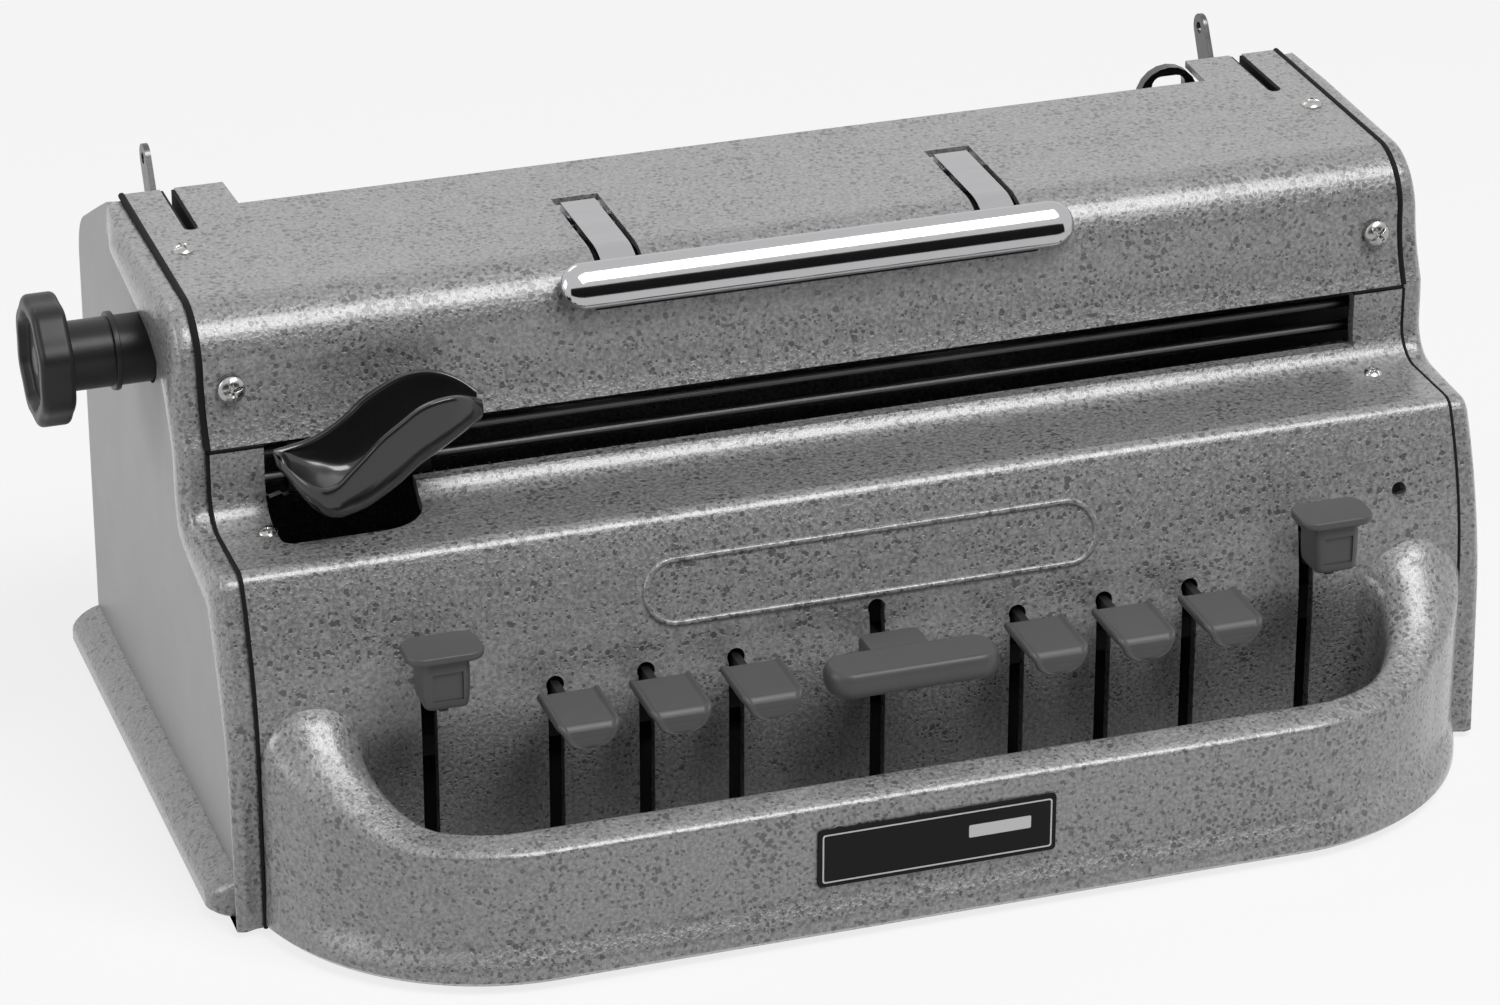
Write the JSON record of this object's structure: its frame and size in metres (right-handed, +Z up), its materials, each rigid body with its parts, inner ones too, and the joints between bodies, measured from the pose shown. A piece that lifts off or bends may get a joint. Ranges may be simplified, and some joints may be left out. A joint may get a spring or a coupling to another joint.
{
  "type": "braille typewriter",
  "caption": "Metal-cased braille typewriter with sprung keys round a well, a sliding embossing head, a paper feed roller with side knob, and a folding carrying handle.",
  "frame": {"origin": "centre of the overall box on the plane the feet stand on", "axes": "+X runs to the machine's right as its user sits, +Y to its back, +Z up"},
  "size_m": [0.3802, 0.223, 0.1556],
  "materials": {
    "speckled_enamel": "grey hammered enamel with fine dark specks, semi gloss",
    "side_enamel": "smoother light grey enamel, semi gloss",
    "bare_steel": "satin",
    "blackened_steel": "blackened, satin",
    "chrome_plate": "bright plated",
    "black_rubber": "matt",
    "key_plastic": "satin",
    "black_label": "gloss black, bare of words",
    "knob_plastic": "satin",
    "lever_plastic": "gloss"
  },
  "bodies": {
    "housing": {"front_cover": "speckled_enamel", "top_cover": "speckled_enamel", "rear_cover": "speckled_enamel", "left_side_plate": "side_enamel", "right_side_plate": "side_enamel", "left_frame_plate": "bare_steel", "right_frame_plate": "bare_steel", "key_shaft": "bare_steel", "upper_head_rod": "bare_steel", "lower_head_rod": "bare_steel", "head_rack": "bare_steel", "margin_bar": "bare_steel", "paper_table": "bare_steel", "edge_guide": "bare_steel", "handle_hanger_left": "bare_steel", "handle_hanger_right": "bare_steel", "base_pan": "blackened_steel", "key_stop_bar": "blackened_steel", "key_tail_bar": "blackened_steel", "line_bell": "chrome_plate", "foot_front_left": "black_rubber", "foot_front_right": "black_rubber", "foot_rear_left": "black_rubber", "foot_rear_right": "black_rubber", "label_plate": "black_label"},
    "handle": {"handle_strap_left": "chrome_plate", "handle_strap_right": "chrome_plate", "handle_grip": "chrome_plate"},
    "feed": {"feed_roller": "black_rubber", "feed_shaft": "bare_steel", "feed_knob": "knob_plastic", "line_ratchet": "bare_steel"},
    "release": {"release_shaft": "bare_steel", "release_lever_left": "bare_steel", "release_lever_right": "bare_steel"},
    "roller": {"pressure_roller": "black_rubber"},
    "rest": {"reading_rest": "bare_steel"},
    "head": {"head_block": "blackened_steel"},
    "thumb_lever": {"head_lever": "lever_plastic"},
    "left_stop": {"left_margin_stop": "blackened_steel"},
    "right_stop": {"right_margin_stop": "blackened_steel"},
    "hammer": {"bell_hammer": "bare_steel"},
    "dot_key_1": {"dot_key_1_lever": "blackened_steel", "dot_key_1_cap": "key_plastic"},
    "dot_key_2": {"dot_key_2_lever": "blackened_steel", "dot_key_2_cap": "key_plastic"},
    "dot_key_3": {"dot_key_3_lever": "blackened_steel", "dot_key_3_cap": "key_plastic"},
    "dot_key_4": {"dot_key_4_lever": "blackened_steel", "dot_key_4_cap": "key_plastic"},
    "dot_key_5": {"dot_key_5_lever": "blackened_steel", "dot_key_5_cap": "key_plastic"},
    "dot_key_6": {"dot_key_6_lever": "blackened_steel", "dot_key_6_cap": "key_plastic"},
    "space_key": {"space_key_lever": "blackened_steel", "space_key_cap": "key_plastic"},
    "line_key": {"line_key_lever": "blackened_steel", "line_key_cap": "key_plastic"},
    "back_key": {"back_key_lever": "blackened_steel", "back_key_cap": "key_plastic"}
  },
  "joints": [
    {"name": "handle_hinge", "type": "hinge", "parent": "housing", "child": "handle", "pos_m": [0.01175, 0.028, 0.1483], "axis": [-1, 0, 0], "range_deg": [0, 95]},
    {"name": "feed_turn", "type": "hinge", "parent": "housing", "child": "feed", "pos_m": [0.01175, 0.027, 0.1285], "axis": [1, 0, 0], "continuous": true},
    {"name": "release_hinge", "type": "hinge", "parent": "housing", "child": "release", "pos_m": [0.01175, 0.0755, 0.112], "axis": [1, 0, 0], "range_deg": [0, 60]},
    {"name": "roller_turn", "type": "hinge", "parent": "release", "child": "roller", "pos_m": [0.01175, 0.04546, 0.12321], "axis": [1, 0, 0], "continuous": true},
    {"name": "rest_hinge", "type": "hinge", "parent": "housing", "child": "rest", "pos_m": [0.01175, 0.104, 0.1245], "axis": [-1, 0, 0], "range_deg": [0, 150]},
    {"name": "head_slide", "type": "slide", "parent": "housing", "child": "head", "axis": [1, 0, 0], "range_m": [0, 0.25]},
    {"name": "thumb_lever_hinge", "type": "hinge", "parent": "head", "child": "thumb_lever", "pos_m": [-0.11325, -0.0162, 0.1095], "axis": [1, 0, 0], "range_deg": [0, 8], "stiffness_Nm_per_rad": 0.2, "springref_deg": -11.46},
    {"name": "left_stop_slide", "type": "slide", "parent": "housing", "child": "left_stop", "axis": [1, 0, 0], "range_m": [-0.045, 0.06]},
    {"name": "right_stop_slide", "type": "slide", "parent": "housing", "child": "right_stop", "axis": [1, 0, 0], "range_m": [-0.055, 0.035]},
    {"name": "hammer_hinge", "type": "hinge", "parent": "housing", "child": "hammer", "pos_m": [0.10145, 0.09, 0.0342], "axis": [0, 0, -1], "range_deg": [0, 25], "stiffness_Nm_per_rad": 0.004, "springref_deg": -11.46},
    {"name": "dot_key_1_hinge", "type": "hinge", "parent": "housing", "child": "dot_key_1", "pos_m": [-0.02715, 0.035, 0.024], "axis": [1, 0, 0], "range_deg": [0, 4.5], "stiffness_Nm_per_rad": 0.5, "springref_deg": -11.46},
    {"name": "dot_key_2_hinge", "type": "hinge", "parent": "housing", "child": "dot_key_2", "pos_m": [-0.05155, 0.035, 0.024], "axis": [1, 0, 0], "range_deg": [0, 4.5], "stiffness_Nm_per_rad": 0.5, "springref_deg": -11.46},
    {"name": "dot_key_3_hinge", "type": "hinge", "parent": "housing", "child": "dot_key_3", "pos_m": [-0.07595, 0.035, 0.024], "axis": [1, 0, 0], "range_deg": [0, 4.5], "stiffness_Nm_per_rad": 0.5, "springref_deg": -11.46},
    {"name": "dot_key_4_hinge", "type": "hinge", "parent": "housing", "child": "dot_key_4", "pos_m": [0.05065, 0.035, 0.024], "axis": [1, 0, 0], "range_deg": [0, 4.5], "stiffness_Nm_per_rad": 0.5, "springref_deg": -11.46},
    {"name": "dot_key_5_hinge", "type": "hinge", "parent": "housing", "child": "dot_key_5", "pos_m": [0.07505, 0.035, 0.024], "axis": [1, 0, 0], "range_deg": [0, 4.5], "stiffness_Nm_per_rad": 0.5, "springref_deg": -11.46},
    {"name": "dot_key_6_hinge", "type": "hinge", "parent": "housing", "child": "dot_key_6", "pos_m": [0.09945, 0.035, 0.024], "axis": [1, 0, 0], "range_deg": [0, 4.5], "stiffness_Nm_per_rad": 0.5, "springref_deg": -11.46},
    {"name": "space_key_hinge", "type": "hinge", "parent": "housing", "child": "space_key", "pos_m": [0.01175, 0.035, 0.024], "axis": [1, 0, 0], "range_deg": [0, 4.5], "stiffness_Nm_per_rad": 0.5, "springref_deg": -11.46},
    {"name": "line_key_hinge", "type": "hinge", "parent": "housing", "child": "line_key", "pos_m": [-0.10955, 0.035, 0.024], "axis": [1, 0, 0], "range_deg": [0, 4.5], "stiffness_Nm_per_rad": 0.5, "springref_deg": -11.46},
    {"name": "back_key_hinge", "type": "hinge", "parent": "housing", "child": "back_key", "pos_m": [0.13305, 0.035, 0.024], "axis": [1, 0, 0], "range_deg": [0, 4.5], "stiffness_Nm_per_rad": 0.5, "springref_deg": -11.46}
  ]
}
